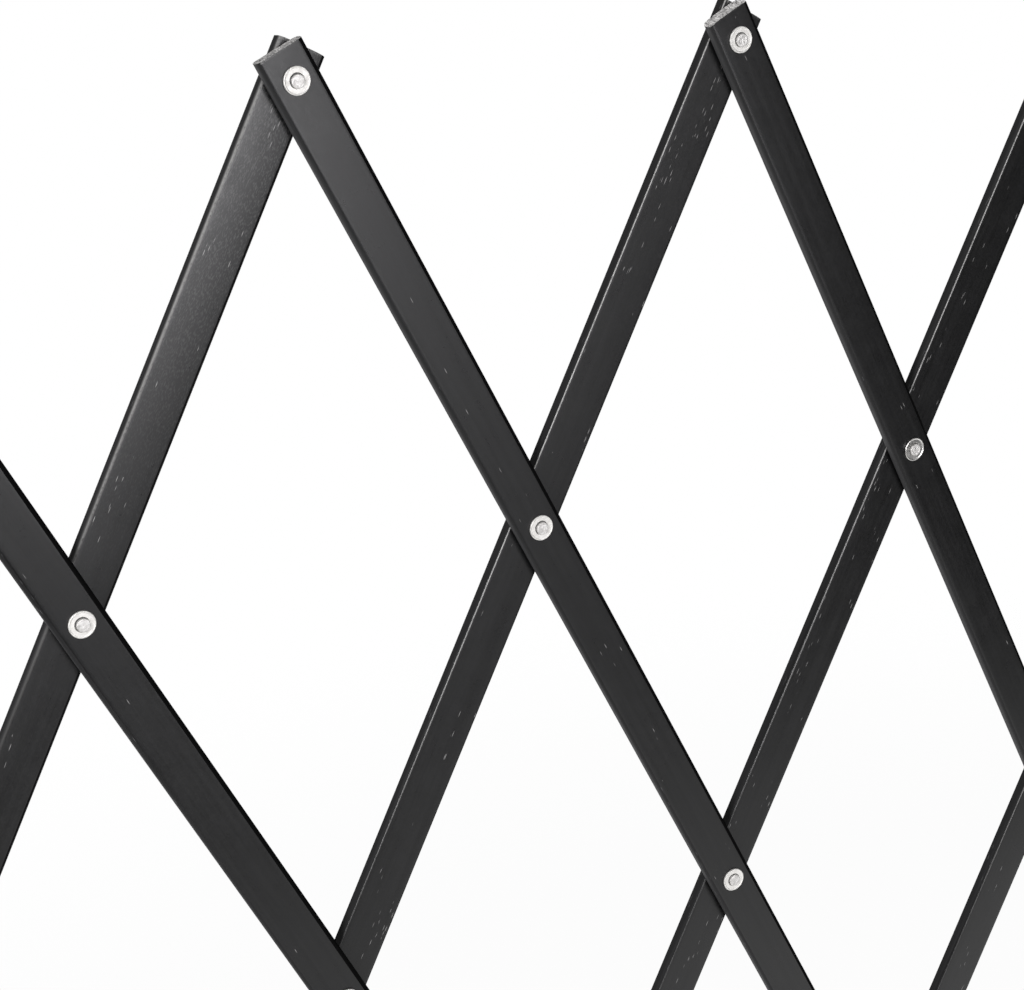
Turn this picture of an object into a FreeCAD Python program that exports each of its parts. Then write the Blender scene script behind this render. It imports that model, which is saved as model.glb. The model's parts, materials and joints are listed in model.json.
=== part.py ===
import FreeCAD, Part
import os
import re

import Sketcher
from FreeCAD import Vector

# A folding barrier: two layers of wooden slats, riveted where they cross, between two end posts.
# X runs from the left post to the right one, Y away from the viewer and Z up, in millimetres.
# The origin lies on the left post's outer face, half way between its two screw holes.

sizes = {
    # Lattice: rivet_pitch runs along a slat, and the angles are between a slat and the upright
    "rivet_pitch": 210,
    "rest_angle": 27.3,
    "folded_angle": 3.3,
    "opened_angle": 47.3,
    # Slats: slat_tip runs from the last rivet to the sawn end
    "slat_width": 20,
    "slat_thickness": 5.5,
    "slat_edge_radius": 1,
    "slat_tip": 13,
    # Room between layers that slide on each other, and round a rivet's shank
    "running_gap": 0.2,
    "shank_clearance": 0.05,
    # Rivets: a domed head at the back, and an end peened into a dimpled crown at the front
    "shank_diameter": 4,
    "head_diameter": 9,
    "head_height": 1.6,
    "crown_diameter": 5.4,
    "crown_height": 0.9,
    "crest_diameter": 2.6,
    "dimple_depth": 0.25,
    # Rings on the rivets
    "washer_diameter": 10.6,
    "washer_thickness": 1,
    "washer_bevel": 0.3,
    "back_washer_diameter": 14,
    "spacer_diameter": 12,
    "spacer_thickness": 2.4,
    # End posts: foot_room runs from the folded slats' tips down to the foot
    "post_width": 40,
    "post_thickness": 15,
    "post_edge_radius": 2,
    "post_end_chamfer": 1,
    "foot_room": 25,
    "slot_clearance": 0.2,
    "slot_end_room": 1,
    # Screw holes through the posts, with a recess for the screw head on the inner side
    "slot_to_screw": 40,
    "screw_to_top": 38,
    "screw_spacing": 600,
    "screw_hole_diameter": 4.5,
    "screw_recess_diameter": 9,
    "screw_recess_depth": 8,
}

# Columns of crossings run from post to post and rows from the top down, in rivet spaces.
# A crossing sits wherever column plus row is odd, so each post meets one crossing in two rows.
columns = 8
rows = 4
upper_pivot_row = 1
lower_pivot_row = 3

# Derived places, written as formulas of the sizes
column_step = "(rivet_pitch * sin(rest_angle * 1deg))"
row_step = "(rivet_pitch * cos(rest_angle * 1deg))"
folded_rise = "(2 * rivet_pitch * cos(folded_angle * 1deg))"
opened_rise = "(2 * rivet_pitch * cos(opened_angle * 1deg))"
pivot_height = f"(screw_spacing / 2 - slot_to_screw - {folded_rise})"
upper_screw = f"({folded_rise} + slot_to_screw)"
lower_screw = f"({upper_screw} - screw_spacing)"
shank_bore = "(shank_diameter / 2 + shank_clearance)"

# Layers, from the middle of the posts towards the viewer
post_front = "(-post_thickness / 2)"
spacer_face = f"({post_front} - running_gap - spacer_thickness)"
rear_face = f"({spacer_face} - running_gap - slat_thickness)"
front_face = f"({rear_face} - running_gap - slat_thickness)"
back_washer_face = "(post_thickness / 2 + running_gap)"
crossing_grip = "(2 * slat_thickness + 2 * running_gap)"
pivot_grip = f"({back_washer_face} + washer_thickness - {front_face})"

doc = FreeCAD.newDocument("folding_barrier")
sheet = doc.addObject("Spreadsheet::Sheet", "Sizes")
for line, (alias, size) in enumerate(sizes.items(), start=1):
    sheet.set(f"A{line}", alias)
    sheet.set(f"B{line}", str(size))
    sheet.setAlias(f"B{line}", alias)
doc.recompute()

sub_parts = []


def in_sheet(formula):
    return re.sub(r"[a-z]+(_[a-z]+)+", lambda word: "Sizes." + word.group(), formula)


def bind(item, target, formula):
    item.setExpression(target, in_sheet(formula))


def amount(formula):
    return float(sheet.evalExpression(in_sheet(formula)))


def origin_feature(body, role):
    return [feature for feature in body.Origin.OriginFeatures if feature.Role == role][0]


def new_body(label):
    body = doc.addObject("PartDesign::Body", label)
    body.Label = label
    sub_parts.append(body)
    return body


def new_sketch(body, name, role):
    sketch = body.newObject("Sketcher::SketchObject", f"{body.Label}_{name}")
    sketch.AttachmentSupport = [(origin_feature(body, role), "")]
    sketch.MapMode = "FlatFace"
    return sketch


def new_feature(body, kind, name):
    return body.newObject(f"PartDesign::{kind}", f"{body.Label}_{name}")


def fix_point(sketch, side, end, name, across, along):
    # Ties one end of a side to its two distances from the sketch's origin
    for word, kind, axis, formula in (("across", "DistanceX", -2, across), ("along", "DistanceY", -1, along)):
        if formula is None:
            continue
        if formula == "0":
            sketch.addConstraint(Sketcher.Constraint("PointOnObject", side, end, axis))
            continue
        number = sketch.addConstraint(Sketcher.Constraint(kind, -1, 1, side, end, amount(formula)))
        sketch.renameConstraint(number, f"{name}_{word}")
        bind(sketch, f"Constraints.{name}_{word}", formula)


def arc_between(start, end, centre_across, centre_along):
    # The centre is as far from both ends, and one of its two distances is given
    middle = (start + end) / 2
    chord = end - start
    if centre_across is not None:
        across = amount(centre_across)
        along = middle.y - chord.x * (across - middle.x) / chord.y
    else:
        along = amount(centre_along)
        across = middle.x - chord.y * (along - middle.y) / chord.x
    centre = Vector(across, along, 0)
    circle = Part.Circle(centre, Vector(0, 0, 1), (start - centre).Length)
    return Part.ArcOfCircle(circle, circle.parameter(start), circle.parameter(end))


def draw_outline(sketch, corners, bulges={}):
    # Corners run counter-clockwise. A bulge is an arc that leaves the named corner, given by how far
    # across or along its centre lies
    names = list(corners)
    points = {name: Vector(amount(across), amount(along), 0) for name, (across, along) in corners.items()}
    for side, name in enumerate(names):
        start = points[name]
        end = points[names[(side + 1) % len(names)]]
        if name in bulges:
            sketch.addGeometry(arc_between(start, end, *bulges[name]))
        else:
            sketch.addGeometry(Part.LineSegment(start, end))
    for side, name in enumerate(names):
        before = (side - 1) % len(names)
        sketch.addConstraint(Sketcher.Constraint("Coincident", before, 2, side, 1))
        fix_point(sketch, side, 1, name, *corners[name])
        if name in bulges:
            fix_point(sketch, side, 3, f"{name}_centre", *bulges[name])


def draw_circle(sketch, name, radius, across, along):
    centre = Vector(amount(across), amount(along), 0)
    side = sketch.addGeometry(Part.Circle(centre, Vector(0, 0, 1), amount(radius)))
    fix_point(sketch, side, 3, name, across, along)
    number = sketch.addConstraint(Sketcher.Constraint("Radius", side, amount(radius)))
    sketch.renameConstraint(number, f"{name}_radius")
    bind(sketch, f"Constraints.{name}_radius", radius)


def pad(body, sketch, thickness, centred=False):
    # Upright faces are drawn from the front, so the wood lies behind them
    feature = new_feature(body, "Pad", "pad")
    feature.Profile = sketch
    feature.Midplane = centred
    feature.Reversed = not centred
    bind(feature, "Length", thickness)
    doc.recompute()
    return feature


def cut_through(body, sketch, name):
    feature = new_feature(body, "Pocket", name)
    feature.Profile = sketch
    feature.Type = "ThroughAll"
    feature.Midplane = True
    doc.recompute()
    return feature


def soften_edges(body, base, kind, name, target, size, wanted):
    feature = new_feature(body, kind, name)
    edges = [f"Edge{number}" for number, edge in enumerate(base.Shape.Edges, start=1) if wanted(edge)]
    feature.Base = (base, edges)
    bind(feature, target, size)
    doc.recompute()
    return feature


def is_upright(edge):
    return abs(edge.tangentAt(edge.FirstParameter).z) > 0.5


def is_level(edge):
    return not is_upright(edge)


def revolve(body, sketch):
    feature = new_feature(body, "Revolution", "turned")
    feature.Profile = sketch
    feature.ReferenceAxis = (sketch, ["V_Axis"])
    feature.Angle = 360
    doc.recompute()
    return feature


def repeat_up(body, feature, count):
    # Copies along the slat, one rivet space apart
    if count == 1:
        return
    pattern = new_feature(body, "LinearPattern", "row")
    pattern.Originals = [feature]
    pattern.Direction = (origin_feature(body, "Z_Axis"), [""])
    pattern.Occurrences = count
    bind(pattern, "Length", f"{count - 1} * rivet_pitch")
    body.Tip = pattern
    doc.recompute()


def place(body, column, row, depth, lean):
    # Lean is 1 for a piece that leans right, -1 for left and 0 for upright
    across = f"post_width / 2 + {column} * {column_step}"
    up = f"{pivot_height} + {lower_pivot_row - row} * {row_step}"
    turn = f"rotation(vector(0; 1; 0); {lean} * rest_angle)"
    bind(body, "Placement", f"placement(vector({across}; {depth}; {up}); {turn})")


def make_slat(label, spaces):
    body = new_body(label)
    face = new_sketch(body, "face", "XZ_Plane")
    top = f"{spaces} * rivet_pitch + slat_tip"
    draw_outline(face, {
        "foot_left": ("-slat_width / 2", "-slat_tip"),
        "foot_right": ("slat_width / 2", "-slat_tip"),
        "top_right": ("slat_width / 2", top),
        "top_left": ("-slat_width / 2", top),
    })
    board = pad(body, face, "slat_thickness")
    soften_edges(body, board, "Fillet", "edges", "Radius", "slat_edge_radius", is_upright)
    drill = new_sketch(body, "drill", "XZ_Plane")
    draw_circle(drill, "bore", shank_bore, "0", "0")
    bore = cut_through(body, drill, "bore")
    repeat_up(body, bore, spaces + 1)
    return body


def make_rivets(label, grip, count):
    # Turned about the shank: X is the radius, Y runs from the front slats' face to the back
    body = new_body(label)
    section = new_sketch(body, "section", "XY_Plane")
    crest = "-(washer_thickness + crown_height)"
    draw_outline(section, {
        "dimple": ("0", f"{crest} + dimple_depth"),
        "crest": ("crest_diameter / 2", crest),
        "rim": ("crown_diameter / 2", "-washer_thickness"),
        "neck": ("shank_diameter / 2", "-washer_thickness"),
        "grip_end": ("shank_diameter / 2", grip),
        "head_rim": ("head_diameter / 2", grip),
        "head_top": ("0", f"{grip} + head_height"),
    }, bulges={
        "head_rim": ("0", None),
    })
    repeat_up(body, revolve(body, section), count)
    return body


def make_washers(label, count):
    # The section has its back on the X axis and a bevel round its front edge
    body = new_body(label)
    section = new_sketch(body, "section", "XY_Plane")
    outer = "washer_diameter / 2"
    draw_outline(section, {
        "front_inner": (shank_bore, "-washer_thickness"),
        "front_outer": (f"{outer} - washer_bevel", "-washer_thickness"),
        "side_front": (outer, "washer_bevel - washer_thickness"),
        "back_outer": (outer, "0"),
        "back_inner": (shank_bore, "0"),
    })
    repeat_up(body, revolve(body, section), count)
    return body


def make_ring(label, diameter, thickness):
    body = new_body(label)
    face = new_sketch(body, "face", "XZ_Plane")
    draw_circle(face, "bore", shank_bore, "0", "0")
    draw_circle(face, "rim", f"{diameter} / 2", "0", "0")
    pad(body, face, thickness)
    return body


def make_post(label, inner_side):
    # The lower pivot is the body's own origin. Inner side is 1 where the lattice lies to the right, else -1
    body = new_body(label)
    face = new_sketch(body, "face", "XZ_Plane")
    foot = "-(rivet_pitch + slat_tip + foot_room)"
    top = f"{upper_screw} + screw_to_top"
    draw_outline(face, {
        "foot_left": ("-post_width / 2", foot),
        "foot_right": ("post_width / 2", foot),
        "top_right": ("post_width / 2", top),
        "top_left": ("-post_width / 2", top),
    })
    batten = pad(body, face, "post_thickness", centred=True)
    rounded = soften_edges(body, batten, "Fillet", "edges", "Radius", "post_edge_radius", is_upright)
    soften_edges(body, rounded, "Chamfer", "ends", "Size", "post_end_chamfer", is_level)

    slot = new_sketch(body, "slot", "XZ_Plane")
    half = "(shank_diameter / 2 + slot_clearance)"
    slot_foot = f"{opened_rise} - slot_end_room"
    slot_top = f"{folded_rise} + slot_end_room"
    draw_outline(slot, {
        "foot_left": (f"-{half}", slot_foot),
        "foot_right": (half, slot_foot),
        "top_right": (half, slot_top),
        "top_left": (f"-{half}", slot_top),
    }, bulges={
        "foot_left": (None, slot_foot),
        "top_right": (None, slot_top),
    })
    cut_through(body, slot, "slot_cut")

    drill = new_sketch(body, "drill", "XZ_Plane")
    draw_circle(drill, "bore", shank_bore, "0", "0")
    cut_through(body, drill, "pivot_bore")

    screws = new_sketch(body, "screws", "YZ_Plane")
    recesses = new_sketch(body, "recesses", "YZ_Plane")
    bind(recesses, "AttachmentOffset.Base.z", f"{inner_side} * post_width / 2")
    for name, up in (("upper", upper_screw), ("lower", lower_screw)):
        draw_circle(screws, name, "screw_hole_diameter / 2", "0", up)
        draw_circle(recesses, name, "screw_recess_diameter / 2", "0", up)
    cut_through(body, screws, "screw_holes")
    recess = new_feature(body, "Pocket", "screw_recesses")
    recess.Profile = recesses
    recess.Reversed = inner_side < 0
    bind(recess, "Length", "screw_recess_depth")
    doc.recompute()
    return body


def make_front_slat(number, left_column, right_column, top_row):
    # Front slats lean left. Their rivets and washers ride on them, and the posts' pivots are made apart
    spaces = right_column - left_column
    foot_row = top_row + spaces
    label = f"front_slat_{number}"
    place(make_slat(label, spaces), right_column, foot_row, front_face, -1)
    place(make_washers(f"{label}_washers", spaces + 1), right_column, foot_row, front_face, -1)
    first = 1 if right_column == columns else 0
    last = spaces - 1 if left_column == 0 else spaces
    rivets = make_rivets(f"{label}_rivets", crossing_grip, last - first + 1)
    place(rivets, right_column - first, foot_row - first, front_face, -1)


def make_rear_slat(number, left_column, right_column, foot_row):
    place(make_slat(f"rear_slat_{number}", right_column - left_column), left_column, foot_row, rear_face, 1)


def make_end(side, column, inner_side):
    place(make_post(f"{side}_post", inner_side), column, lower_pivot_row, "0", 0)
    for level, row in (("upper", upper_pivot_row), ("lower", lower_pivot_row)):
        label = f"{side}_{level}"
        place(make_rivets(f"{label}_pivot", pivot_grip, 1), column, row, front_face, 0)
        spacer = make_ring(f"{label}_spacer", "spacer_diameter", "spacer_thickness")
        place(spacer, column, row, spacer_face, 0)
        back_washer = make_ring(f"{label}_back_washer", "back_washer_diameter", "washer_thickness")
        place(back_washer, column, row, back_washer_face, 0)


# Along a front slat column minus row stays the same, and along a rear slat column plus row
make_end("left", 0, 1)
for number, diagonal in enumerate(range(1 - rows, columns, 2), start=1):
    left_column = max(0, diagonal)
    right_column = min(columns, diagonal + rows)
    make_front_slat(number, left_column, right_column, left_column - diagonal)
for number, diagonal in enumerate(range(1, columns + rows, 2), start=1):
    left_column = max(0, diagonal - rows)
    right_column = min(columns, diagonal)
    make_rear_slat(number, left_column, right_column, diagonal - left_column)
make_end("right", columns, -1)
doc.recompute()

for item in doc.Objects:
    if "Invalid" in item.State or "Error" in item.State:
        raise RuntimeError(f"{item.Label} did not compute")
    if item.TypeId == "PartDesign::Pocket" and item.Shape.Volume >= item.BaseFeature.Shape.Volume:
        raise RuntimeError(f"{item.Label} cuts nothing")
for piece in sub_parts:
    if piece.Shape.isNull() or not piece.Shape.isValid():
        raise RuntimeError(f"{piece.Label} has no valid shape")

os.makedirs("parts", exist_ok=True)
for piece in sub_parts:
    piece.Shape.exportStep(f"parts/{piece.Label}.step")
    print(piece.Label, len(piece.Shape.Solids), round(piece.Shape.Volume, 2))
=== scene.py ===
import json
import math
from functools import partial

import bpy
from mathutils import Matrix, Vector


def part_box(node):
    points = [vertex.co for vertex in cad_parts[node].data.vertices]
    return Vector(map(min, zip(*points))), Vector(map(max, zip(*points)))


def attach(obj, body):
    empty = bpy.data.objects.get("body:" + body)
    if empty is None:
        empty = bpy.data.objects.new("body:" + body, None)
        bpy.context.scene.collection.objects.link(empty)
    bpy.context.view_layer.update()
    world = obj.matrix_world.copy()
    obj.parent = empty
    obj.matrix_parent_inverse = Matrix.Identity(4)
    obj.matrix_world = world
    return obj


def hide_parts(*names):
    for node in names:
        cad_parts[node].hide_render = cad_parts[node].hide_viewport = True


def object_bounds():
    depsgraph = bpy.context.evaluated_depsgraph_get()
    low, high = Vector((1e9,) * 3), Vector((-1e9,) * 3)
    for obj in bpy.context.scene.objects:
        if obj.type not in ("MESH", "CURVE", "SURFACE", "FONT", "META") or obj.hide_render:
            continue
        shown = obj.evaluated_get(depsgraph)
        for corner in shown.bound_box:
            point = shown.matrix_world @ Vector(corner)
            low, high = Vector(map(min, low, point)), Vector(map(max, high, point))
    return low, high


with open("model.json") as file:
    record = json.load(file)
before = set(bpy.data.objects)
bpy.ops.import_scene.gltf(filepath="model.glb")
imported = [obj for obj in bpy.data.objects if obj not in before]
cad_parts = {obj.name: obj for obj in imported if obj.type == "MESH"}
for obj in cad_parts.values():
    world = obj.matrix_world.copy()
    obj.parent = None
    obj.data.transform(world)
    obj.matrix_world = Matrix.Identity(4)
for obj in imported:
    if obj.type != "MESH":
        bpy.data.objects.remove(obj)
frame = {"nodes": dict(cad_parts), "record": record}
cadLow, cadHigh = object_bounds()
mm = 0.001
white = (1, 1, 1, 1)
noiseReach = (0.3, 0.7)  # nearly all of a noise lies between these
scene = bpy.context.scene


# Node helpers: a value that is a socket gets linked, anything else becomes the input's own number
def addNode(tree, kind, inputs=None, **settings):
    made = tree.nodes.new(kind)
    for name, value in settings.items():
        setattr(made, name, value)
    for name, value in (inputs or {}).items():
        if isinstance(value, bpy.types.NodeSocket):
            tree.links.new(value, made.inputs[name])
        else:
            made.inputs[name].default_value = value
    return made


def calc(tree, operation, *values, clamp=False):
    inputs = dict(enumerate(values))
    return addNode(tree, "ShaderNodeMath", inputs, operation=operation, use_clamp=clamp).outputs[0]


def vectorCalc(tree, operation, *values):
    node = addNode(tree, "ShaderNodeVectorMath", dict(enumerate(values)), operation=operation)
    return node.outputs["Value" if operation in ("LENGTH", "DOT_PRODUCT", "DISTANCE") else "Vector"]


def halfOf(tree, value):
    return calc(tree, "MULTIPLY", value, 0.5)


def stretched(tree, place, scales):
    return vectorCalc(tree, "MULTIPLY", place, scales)


def joined(tree, *values):
    return addNode(tree, "ShaderNodeCombineXYZ", dict(enumerate(values))).outputs[0]


def parted(tree, vector):
    return addNode(tree, "ShaderNodeSeparateXYZ", {0: vector}).outputs


def ramp(tree, value, fromMin, fromMax, toMin=0.0, toMax=1.0, kind="SMOOTHSTEP"):
    node = addNode(tree, "ShaderNodeMapRange", {
        "Value": value, "From Min": fromMin, "From Max": fromMax, "To Min": toMin, "To Max": toMax,
    }, interpolation_type=kind)
    return node.outputs["Result"]


def mixValue(tree, factor, first, second):
    return addNode(tree, "ShaderNodeMix", {"Factor": factor, 2: first, 3: second}).outputs[0]


def mixColour(tree, factor, first, second):
    node = addNode(tree, "ShaderNodeMix", {"Factor": factor, 6: first, 7: second}, data_type="RGBA")
    return node.outputs[2]


def mixShader(tree, factor, first, second):
    return addNode(tree, "ShaderNodeMixShader", {0: factor, 1: first, 2: second}).outputs[0]


def noise(tree, place, scale=1.0, detail=2.0, roughness=0.5, seed=None):
    inputs = {"Vector": place, "Scale": scale, "Detail": detail, "Roughness": roughness}
    if seed is None:
        return addNode(tree, "ShaderNodeTexNoise", inputs).outputs["Fac"]
    inputs["W"] = seed
    return addNode(tree, "ShaderNodeTexNoise", inputs, noise_dimensions="4D").outputs["Fac"]


def attribute(tree, name, output="Fac"):
    return addNode(tree, "ShaderNodeAttribute", attribute_name=name).outputs[output]


def objectPlace(tree):
    return addNode(tree, "ShaderNodeTexCoord").outputs["Object"]


def newTree(kind, name, inputs, outputs):
    tree = bpy.data.node_groups.new(name, kind)
    for side, sockets in (("INPUT", inputs), ("OUTPUT", outputs)):
        for label, socketKind in sockets.items():
            tree.interface.new_socket(label, in_out=side, socket_type="NodeSocket" + socketKind)
    return tree, tree.nodes.new("NodeGroupInput").outputs, tree.nodes.new("NodeGroupOutput").inputs


def newMaterial(name):
    material = bpy.data.materials.new(name)
    material.use_nodes = True
    tree = material.node_tree
    return material, tree, tree.nodes["Principled BSDF"]


def dress(tree, shader, colour, roughness, height, strength, relief):
    bump = addNode(tree, "ShaderNodeBump", {"Height": height, "Strength": strength, "Distance": relief})
    for name, value in (("Base Color", colour), ("Roughness", roughness), ("Normal", bump.outputs["Normal"])):
        tree.links.new(value, shader.inputs[name])


# One plain mesh for each body from a tree and its sizes
def grow(name, tree, sizes, body, slot, *nodes):
    piece = bpy.data.objects.new(name, bpy.data.meshes.new(name + "Seed"))
    scene.collection.objects.link(piece)
    modifier = piece.modifiers.new("grow", "NODES")
    modifier.node_group = tree
    for socket in tree.interface.items_tree:
        if socket.in_out == "INPUT" and socket.name in sizes:
            modifier[socket.identifier] = sizes[socket.name]
    bpy.context.view_layer.update()
    depsgraph = bpy.context.evaluated_depsgraph_get()
    mesh = bpy.data.meshes.new_from_object(
        piece.evaluated_get(depsgraph), preserve_all_data_layers=True, depsgraph=depsgraph)
    seed = piece.data
    piece.modifiers.remove(modifier)
    piece.data = mesh
    mesh.name = name
    bpy.data.meshes.remove(seed)
    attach(piece, body)
    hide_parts(*nodes)


# Grain along Z of the place it is given: long streaks, open pores, a fine tooth and the height of all
grainLook = {
    "streak": (420, 420, 9), "fibre": (2600, 2600, 60), "cluster": (150, 150, 26), "fine": (2300, 2300, 760),
    "dash": (2400, 2400, 260), "streakShare": 0.65, "fibreShare": 0.35, "fineTint": 0.15, "pit": -0.6,
    "clusterRange": (0.52, 0.68), "dashRange": (0.2, 0.44), "faintest": 0.35, "fineRange": (0.45, 0.72),
}
grainTree, grainIn, grainOut = newTree(
    "ShaderNodeTree", "woodGrain",
    {"Place": "Vector", "Pore And Glint Share": "Float", "Fine Share": "Float"},
    {"Streak": "Float", "Pore": "Float", "Height": "Float"},
)
grainCalc, grainRamp = partial(calc, grainTree), partial(ramp, grainTree)


def grainNoise(part, detail, roughness=0.5):
    place = stretched(grainTree, grainIn["Place"], grainLook[part])
    return noise(grainTree, place, detail=detail, roughness=roughness)


streak = grainCalc("MULTIPLY_ADD", grainNoise("fibre", 2.0), grainLook["fibreShare"], grainCalc(
    "MULTIPLY", grainNoise("streak", 3.0, 0.55), grainLook["streakShare"]))
cluster = grainRamp(grainNoise("cluster", 2.0), *grainLook["clusterRange"])
# Pores are short dashes: each cell holds one when its draw falls under the share
cells = addNode(grainTree, "ShaderNodeTexVoronoi", {
    "Vector": stretched(grainTree, grainIn["Place"], grainLook["dash"]), "Scale": 1.0}).outputs
draw, bright, _ = addNode(grainTree, "ShaderNodeSeparateColor", {"Color": cells["Color"]}).outputs
here = grainCalc("LESS_THAN", draw, grainCalc("MULTIPLY", grainIn["Pore And Glint Share"], cluster))
dash = grainRamp(cells["Distance"], *grainLook["dashRange"], 1.0, 0.0)
poreDash = grainCalc("MULTIPLY", grainCalc("MULTIPLY", here, dash), grainRamp(
    bright, 0.0, 1.0, grainLook["faintest"], 1.0, kind="LINEAR"))
fineTooth = grainRamp(grainNoise("fine", 1.0), *grainLook["fineRange"])
fineGrain = grainCalc("MULTIPLY", fineTooth, grainIn["Fine Share"])
pore = grainCalc("MAXIMUM", poreDash, grainCalc("MULTIPLY", fineGrain, grainLook["fineTint"]))
pitted = grainCalc("MULTIPLY_ADD", poreDash, grainLook["pit"], streak)
grainHeight = grainCalc("MULTIPLY_ADD", fineGrain, grainLook["pit"], pitted)
for label, value in (("Streak", streak), ("Pore", pore), ("Height", grainHeight)):
    grainTree.links.new(value, grainOut[label])

# Small rubbed spots, used on wood and metal alike
scuffTree, scuffIn, scuffOut = newTree(
    "ShaderNodeTree", "scuffs", {"Place": "Vector", "Fineness": "Float"}, {"Rub": "Float"})
scuffPlace = addNode(scuffTree, "ShaderNodeVectorMath", {
    0: scuffIn["Place"], "Scale": scuffIn["Fineness"]}, operation="SCALE").outputs["Vector"]
scuffTree.links.new(noise(scuffTree, scuffPlace, detail=5.0, roughness=0.62), scuffOut["Rub"])

# Torn fibres of a sawn end: an end given more wear is pale nearly all over, a fresh one only on its highest
# fibres; that wear, set per slat end, partly stands for painted light
fibreLook = {
    "torn": (1500, 1500, 200), "tornShare": 0.6, "saw": (1800, 380, 200), "sawShare": 0.4, "wearAndLightLift": 0.36,
    "tornRange": (0.5, 0.9),
}
fibreTree, fibreIn, fibreOut = newTree(
    "ShaderNodeTree", "sawnFibres",
    {"Place": "Vector", "Wear": "Float"}, {"Torn": "Float", "Height": "Float"})
tornNoise = noise(
    fibreTree, stretched(fibreTree, fibreIn["Place"], fibreLook["torn"]), detail=4.0, roughness=0.7)
sawMarks = noise(fibreTree, stretched(fibreTree, fibreIn["Place"], fibreLook["saw"]), detail=2.0)
tornHeight = calc(fibreTree, "MULTIPLY_ADD", sawMarks, fibreLook["sawShare"], calc(
    fibreTree, "MULTIPLY", tornNoise, fibreLook["tornShare"]))
# The wear input lifts the torn fibres: on slat ends it is partly painted light
lifted = calc(fibreTree, "MULTIPLY_ADD", fibreIn["Wear"], fibreLook["wearAndLightLift"], tornHeight)
fibreTree.links.new(ramp(fibreTree, lifted, *fibreLook["tornRange"]), fibreOut["Torn"])
fibreTree.links.new(tornHeight, fibreOut["Height"])


def grainOf(tree, place, poreAndGlintShare, fineShare):
    return addNode(tree, "ShaderNodeGroup", {
        "Place": place, "Pore And Glint Share": poreAndGlintShare, "Fine Share": fineShare}, node_tree=grainTree).outputs


def rubOf(tree, place, fineness):
    return addNode(tree, "ShaderNodeGroup", {
        "Place": place, "Fineness": fineness}, node_tree=scuffTree).outputs["Rub"]


def fibresOf(tree, place, wear):
    return addNode(tree, "ShaderNodeGroup", {"Place": place, "Wear": wear}, node_tree=fibreTree).outputs


# Black satin stain on planed wood; its pale rubbed colour is wear, and on the rear slats' front left edges
# also a painted highlight
woodLook = {
    "deep": (0.0022, 0.0022, 0.0023, 1), "pale": (0.0052, 0.0052, 0.0054, 1),
    "flecks": (0.27, 0.265, 0.26, 1), "rubbedAndHighlight": (0.45, 0.445, 0.43, 1),
    "tipRub": 1.7 * mm, "tipFineness": 2200.0, "broadFineness": 90.0, "mottleFineness": 900.0,
    "edgeRange": (0.3, 0.55), "edgeLeast": 0.45, "tipRange": (0.46, 0.66), "tipMost": 0.55,
    "streakSheen": 0.3, "broadSheen": 0.3, "mottleSheen": 0.4, "sheenRange": (0.36, 0.64),
    "smooth": 0.27, "dull": 0.37, "bump": 0.35, "relief": 0.03 * mm,
}


# Where a slat is pale: along its front left edge as painted highlight and partly wear, and rubbed through at
# its torn tips
def slatRubAndHighlight(tree, place, mottle):
    patchy = ramp(tree, mottle, *woodLook["edgeRange"], woodLook["edgeLeast"], 1.0)
    # The edge mark is a painted highlight, partly wear, along the edge turned towards the light
    edge = calc(tree, "MULTIPLY", attribute(tree, "edgeWearAndHighlight"), patchy)
    torn = ramp(tree, rubOf(tree, place, woodLook["tipFineness"]), *woodLook["tipRange"])
    nearTip = ramp(tree, attribute(tree, "tipDistance"), 0.0, woodLook["tipRub"], woodLook["tipMost"], 0.0)
    return calc(tree, "MAXIMUM", edge, calc(tree, "MULTIPLY", torn, nearTip))


# The upper pivots slide in the posts' slots: they polish the slot's walls and drag a track beside it
postLook = {
    "pores": 0.1, "fine": 0.12, "endWearAndLight": 0.5, "slotFoot": 283.8 * mm, "slotTop": 420.3 * mm,
    "slotHalf": 2.3 * mm, "wallRub": 0.3, "trackHalf": 6.2 * mm, "trackInner": 0.75, "trackRub": 0.16,
    "fade": 6 * mm, "drag": (1400, 1400, 16), "dragRange": (0.42, 0.68), "endRange": (0.75, 0.95),
}


def postRub(tree, place):
    upright = parted(tree, addNode(tree, "ShaderNodeTexCoord").outputs["Normal"])["Z"]
    onEnd = ramp(tree, calc(tree, "ABSOLUTE", upright), *postLook["endRange"])
    end = calc(tree, "MULTIPLY", onEnd, fibresOf(tree, place, postLook["endWearAndLight"])["Torn"])
    across, _, height = parted(tree, place)
    slotMiddles = [sum(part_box(side + "_upper_pivot"), Vector()).x / 2 for side in ("left", "right")]
    fromSlot = calc(tree, "MINIMUM", *[calc(tree, "ABSOLUTE", calc(
        tree, "SUBTRACT", across, middle)) for middle in slotMiddles])
    pivotLevel = sum(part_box("left_lower_pivot"), Vector()).z / 2
    foot, top = pivotLevel + postLook["slotFoot"], pivotLevel + postLook["slotTop"]
    inReach = calc(tree, "MULTIPLY", ramp(tree, height, foot - postLook["fade"], foot), ramp(
        tree, height, top, top + postLook["fade"], 1.0, 0.0))
    dragNoise = noise(tree, stretched(tree, place, postLook["drag"]), detail=3.0)
    drag = ramp(tree, dragNoise, *postLook["dragRange"])
    inSlot = calc(tree, "LESS_THAN", fromSlot, postLook["slotHalf"])
    wall = calc(tree, "MULTIPLY", inSlot, postLook["wallRub"])
    trackHalf = postLook["trackHalf"]
    track = ramp(tree, fromSlot, postLook["trackInner"] * trackHalf, trackHalf, postLook["trackRub"], 0.0)
    slid = calc(tree, "MULTIPLY", calc(tree, "MAXIMUM", wall, track), calc(tree, "MULTIPLY", inReach, drag))
    return calc(tree, "MAXIMUM", end, slid)


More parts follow.
